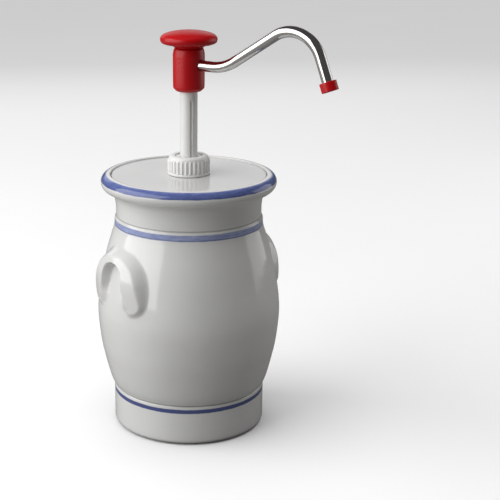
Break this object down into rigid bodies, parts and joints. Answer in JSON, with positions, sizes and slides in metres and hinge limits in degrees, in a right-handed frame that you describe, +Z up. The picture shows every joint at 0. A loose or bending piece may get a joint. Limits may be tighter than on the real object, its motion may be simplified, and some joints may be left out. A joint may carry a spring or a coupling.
{
  "type": "condiment pump dispenser",
  "caption": "Glazed stoneware crock with horseshoe lugs, a flat lid and a hand-pressed plunger pump that sends sauce out of a bent steel spout.",
  "frame": {"origin": "centre of the crock's flat underside, on the pump's axis", "axes": "+Z up along the pump's axis; the spout lies in the XZ plane over +X"},
  "size_m": [0.2699, 0.1976, 0.4294],
  "materials": {
    "stoneware": "glossy salt-grey glaze with brushed blue bands",
    "lid_glaze": "smooth glossy pale grey glaze",
    "white_plastic": "satin moulded white plastic",
    "red_plastic": "satin moulded red plastic",
    "steel": "polished stainless steel",
    "rubber": "matt food-grade rubber",
    "tube_plastic": "milky extruded tube"
  },
  "bodies": {
    "crock": {"crock": "stoneware"},
    "lid": {"lid": "lid_glaze"},
    "pump": {"pump_cylinder": "white_plastic", "flange_gasket": "rubber", "rod_guide": "white_plastic", "rod_wiper": "rubber", "valve_housing": "white_plastic", "housing_oring": "rubber", "intake_stop_pin": "steel", "suction_tube": "tube_plastic", "return_spring": "steel"},
    "nut_seat": {"nut_washer": "white_plastic"},
    "nut": {"collar_nut": "white_plastic"},
    "plunger": {"piston_rod": "white_plastic", "piston": "white_plastic", "piston_oring": "rubber", "discharge_stop_pin": "steel", "pump_head": "red_plastic", "head_oring": "rubber", "knob": "red_plastic", "spout_tube": "steel", "spout_oring": "rubber", "nozzle_cap": "red_plastic"},
    "discharge_valve": {"discharge_ball": "steel"},
    "intake_valve": {"intake_ball": "steel"}
  },
  "joints": [
    {"name": "lid_lift", "type": "slide", "parent": "crock", "child": "lid", "axis": [0, 0, 1], "range_m": [0, 0.26]},
    {"name": "pump_aim", "type": "hinge", "parent": "lid", "child": "pump", "pos_m": [0, 0, 0.2696], "axis": [0, 0, 1], "range_deg": [-180, 180]},
    {"name": "nut_turn", "type": "hinge", "parent": "pump", "child": "nut_seat", "pos_m": [0, 0, 0.2699], "axis": [0, 0, 1], "range_deg": [0, 722]},
    {"name": "nut_climb", "type": "slide", "parent": "nut_seat", "child": "nut", "axis": [0, 0, 1], "range_m": [0, 0.006]},
    {"name": "pump_stroke", "type": "slide", "parent": "pump", "child": "plunger", "axis": [0, 0, -1], "range_m": [0, 0.056], "stiffness_N_per_m": 250, "springref_m": -0.03, "deforming": ["return_spring"]},
    {"name": "discharge_ball_lift", "type": "slide", "parent": "plunger", "child": "discharge_valve", "axis": [0, 0, 1], "range_m": [0, 0.003]},
    {"name": "intake_ball_lift", "type": "slide", "parent": "pump", "child": "intake_valve", "axis": [0, 0, 1], "range_m": [0, 0.0025]}
  ],
  "couplings": [
    {"joint": "nut_turn", "follows": "nut_climb", "rad_per_m": 2094.4}
  ]
}
